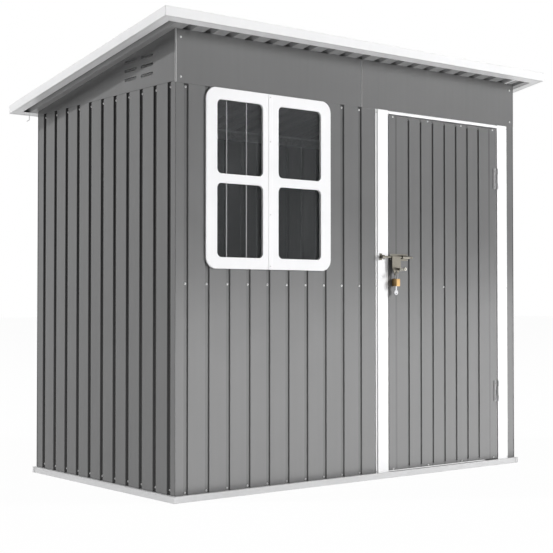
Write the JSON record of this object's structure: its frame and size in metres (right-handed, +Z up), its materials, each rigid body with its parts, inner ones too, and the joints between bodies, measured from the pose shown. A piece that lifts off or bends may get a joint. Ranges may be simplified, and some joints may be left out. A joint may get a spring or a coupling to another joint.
{
  "type": "storage shed",
  "caption": "Lean-to sheet-metal storage shed with grooved walls, a four-pane window, a hinged door with slide bolt and padlock, and a white-edged sloping roof.",
  "frame": {"origin": "on the ground under the middle of the roof's outline", "axes": "+X to the right along the front wall, seen from outside; +Y from the front with the door to the back; +Z up"},
  "size_m": [2.12, 1.245, 1.8224],
  "materials": {
    "sheet_grey": "satin grey paint",
    "roof_grey": "satin light grey paint",
    "rail_grey": "satin light grey paint",
    "white_steel": "satin white paint",
    "white_plastic": "satin white plastic",
    "clear_sheet": "clear plastic sheet",
    "zinc": "galvanised",
    "bolt_steel": "dull nickel plate",
    "brass": "satin brass",
    "key_steel": "plated steel"
  },
  "bodies": {
    "shed": {"base_rail_front": "rail_grey", "base_rail_back": "rail_grey", "base_rail_left": "rail_grey", "base_rail_right": "rail_grey", "base_corner_plates": "rail_grey", "corner_angles": "zinc", "mid_rails": "zinc", "top_rails": "zinc", "roof_purlin": "zinc", "wall_front_panel": "sheet_grey", "wall_front_strip": "sheet_grey", "header_left": "sheet_grey", "header_right": "sheet_grey", "wall_left_panel": "sheet_grey", "wall_right_panel": "sheet_grey", "gable_left": "sheet_grey", "gable_right": "sheet_grey", "wall_back_left": "sheet_grey", "wall_back_right": "sheet_grey", "window_frame": "white_plastic", "window_panes": "clear_sheet", "door_post_left": "white_steel", "door_post_right": "white_steel", "door_head_rail": "white_steel", "roof_sheet_left": "roof_grey", "roof_sheet_middle": "roof_grey", "roof_sheet_right": "roof_grey", "fascia_front": "white_steel", "fascia_back": "white_steel", "fascia_left": "white_steel", "fascia_right": "white_steel", "eave_hook": "zinc", "hinge_post_leaves": "zinc", "bolt_keeper": "bolt_steel"},
    "door": {"door_leaf": "sheet_grey", "door_stiffeners": "zinc", "hinge_door_leaves": "zinc", "latch_plate": "bolt_steel"},
    "bolt": {"latch_bolt": "bolt_steel"},
    "padlock": {"padlock_body": "brass", "padlock_shackle": "bolt_steel", "padlock_key": "key_steel"}
  },
  "joints": [
    {"name": "door_hinge", "type": "hinge", "parent": "shed", "child": "door", "pos_m": [0.8325, -0.5347, 0], "axis": [0, 0, 1], "range_deg": [0, 105]},
    {"name": "bolt_slide", "type": "slide", "parent": "door", "child": "bolt", "axis": [-1, 0, 0], "range_m": [-0.008, 0.012]},
    {"name": "padlock_swing", "type": "hinge", "parent": "bolt", "child": "padlock", "pos_m": [0.167, -0.549, 0.8738], "axis": [0, 1, 0], "range_deg": [-30, 30]}
  ]
}
